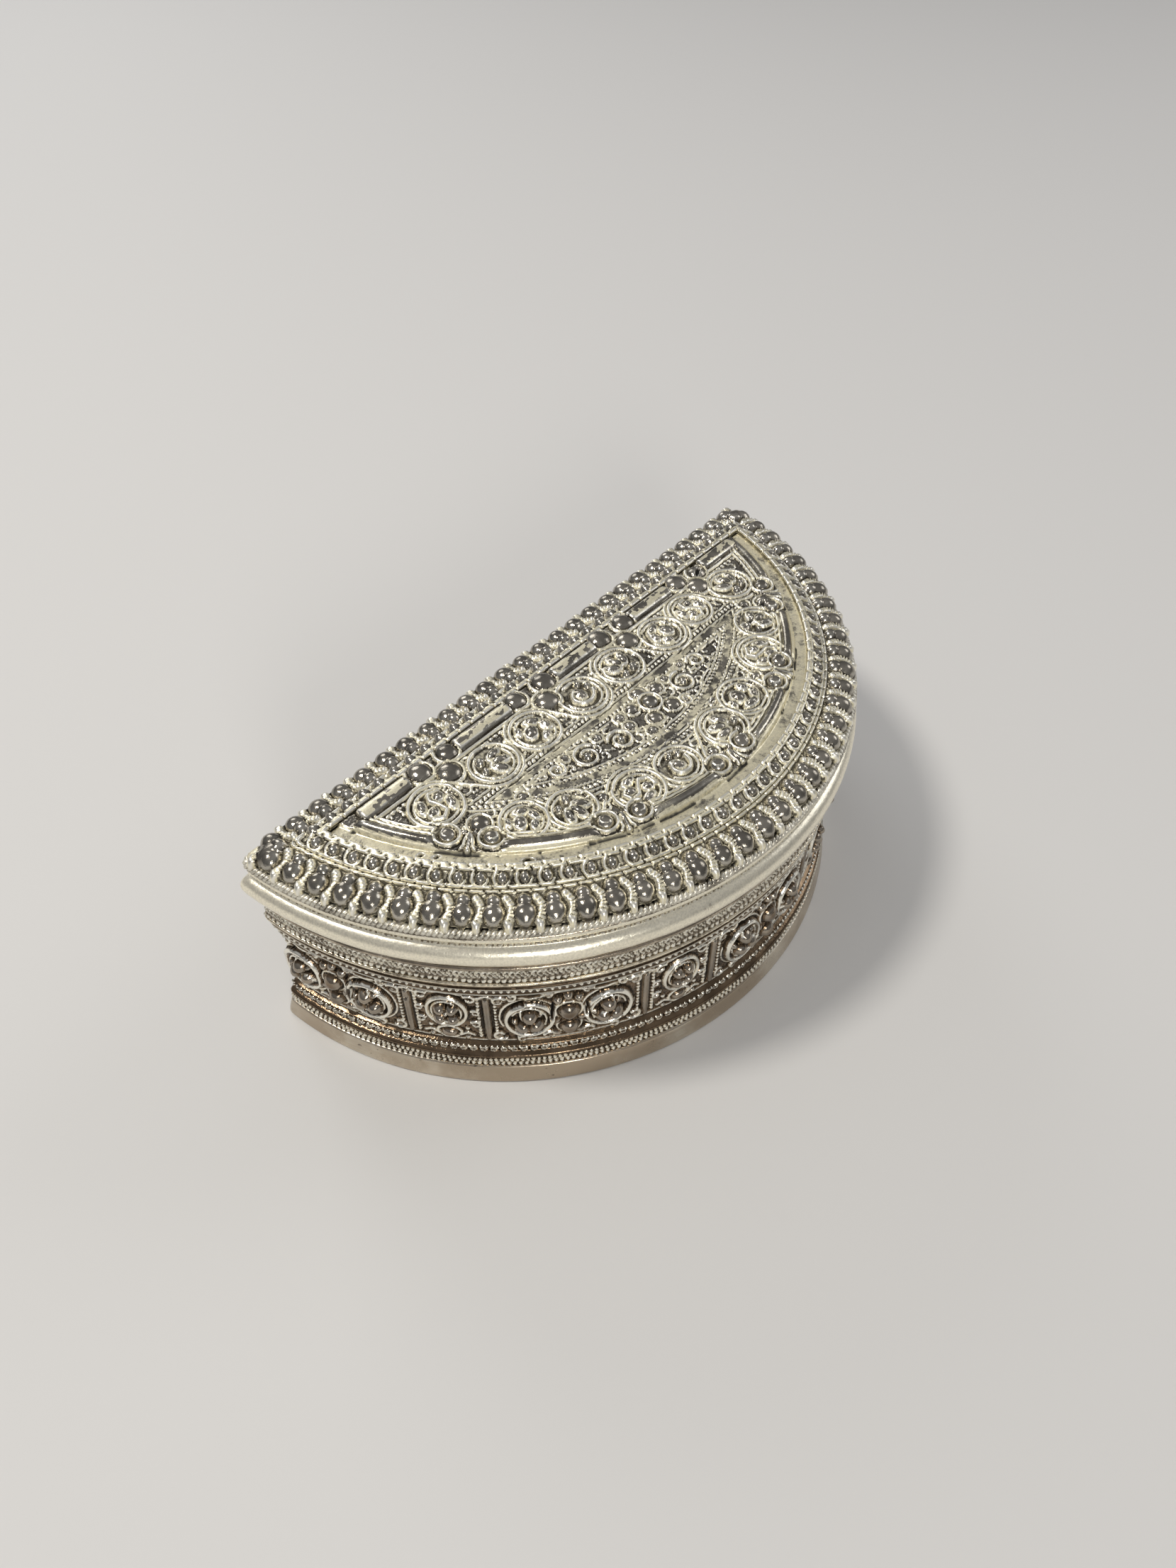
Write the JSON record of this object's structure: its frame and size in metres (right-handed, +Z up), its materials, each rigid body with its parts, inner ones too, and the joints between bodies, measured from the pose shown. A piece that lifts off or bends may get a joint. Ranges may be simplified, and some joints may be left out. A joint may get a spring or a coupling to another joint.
{
  "type": "betel lime box",
  "caption": "Half-moon silver betel lime box with a deep friction-fit lift-off lid, chased ornament and a plain foot band.",
  "frame": {"origin": "middle of the box's width and depth, at the underside of the foot band", "axes": "+X along the straight side, +Y out of the straight side, -Y out of the middle of the curved side, +Z up"},
  "size_m": [0.1266, 0.0612, 0.0496],
  "materials": {
    "wall_silver": "chased silver, polished high points over dull grey-brown recesses",
    "base_silver": "plain dull silver sheet",
    "foot_silver": "plain brushed silver band with fine scratches",
    "collar_silver": "plain dull silver sheet",
    "skirt_silver": "chased silver with a worn bright half-round band",
    "lid_silver": "chased silver, dark polished bosses with cream residue in the recesses",
    "rope_silver": "twisted silver wire, dark between its turns"
  },
  "bodies": {
    "box": {"box_wall": "wall_silver", "base_plate": "base_silver", "foot_rim": "foot_silver", "neck_collar": "collar_silver"},
    "lid": {"lid_skirt": "skirt_silver", "lid_top": "lid_silver", "rope_wire": "rope_silver"}
  },
  "joints": [
    {"name": "lid_lift", "type": "slide", "parent": "box", "child": "lid", "axis": [0, 0, 1], "range_m": [0, 0.03]}
  ]
}
